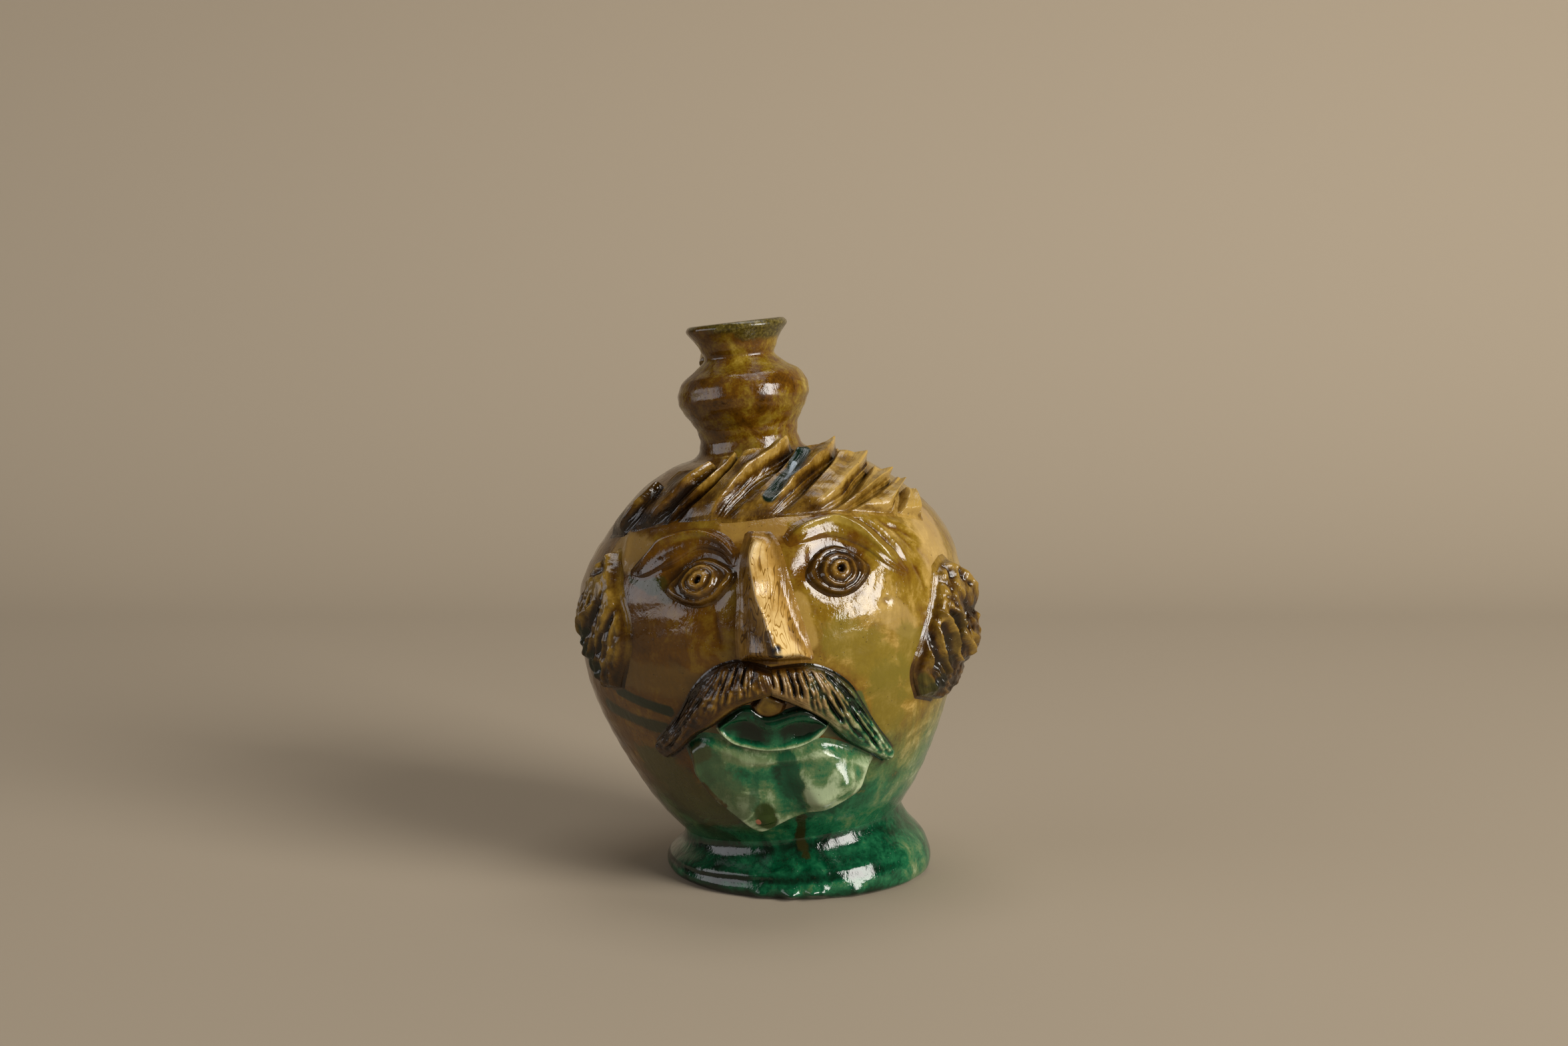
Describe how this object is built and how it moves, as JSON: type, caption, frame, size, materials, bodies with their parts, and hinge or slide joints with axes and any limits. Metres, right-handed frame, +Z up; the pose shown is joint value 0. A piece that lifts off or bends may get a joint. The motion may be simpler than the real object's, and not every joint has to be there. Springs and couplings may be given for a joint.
{
  "type": "face jug",
  "caption": "Glazed earthenware jug shaped as a moustached head, with a bulbed neck, flared lip, strap handle at the back and a flared foot.",
  "frame": {"origin": "centre of the flat underside of the foot, on the table", "axes": "+Z up, the face looks along -Y, +X to the viewer's right"},
  "size_m": [0.1438, 0.1625, 0.2003],
  "materials": {
    "amber_glaze": "honey lead glaze, glossy, olive in the shade and green low down",
    "brown_glaze": "treacle-brown lead glaze, pooled and glossy",
    "hair_glaze": "brown and honey glaze, dark in the combed grooves",
    "ear_glaze": "brown and honey glaze with a green run",
    "ochre_glaze": "thin ochre and cream glaze that ran in lines",
    "moustache_green_glaze": "brown glaze turning green toward the tip",
    "green_glaze": "bottle-green copper glaze, deep and glossy",
    "mint_glaze": "thin pale green glaze over cream clay"
  },
  "bodies": {
    "root": {"foot": "green_glaze", "belly": "amber_glaze", "neck": "amber_glaze", "strap_handle": "brown_glaze", "hair_tuft_1": "hair_glaze", "hair_tuft_2": "hair_glaze", "hair_tuft_3": "hair_glaze", "hair_tuft_4": "hair_glaze", "hair_tuft_5": "hair_glaze", "hair_tuft_6": "hair_glaze", "hair_tuft_7": "hair_glaze", "hair_tuft_8": "hair_glaze", "hair_tuft_9": "hair_glaze", "brow_left": "amber_glaze", "brow_right": "amber_glaze", "eye_left": "brown_glaze", "eye_right": "brown_glaze", "nose": "ochre_glaze", "philtrum": "brown_glaze", "moustache_left": "brown_glaze", "moustache_right": "moustache_green_glaze", "mouth": "green_glaze", "chin": "mint_glaze", "ear_left": "ear_glaze", "ear_right": "ear_glaze"}
  },
  "joints": []
}
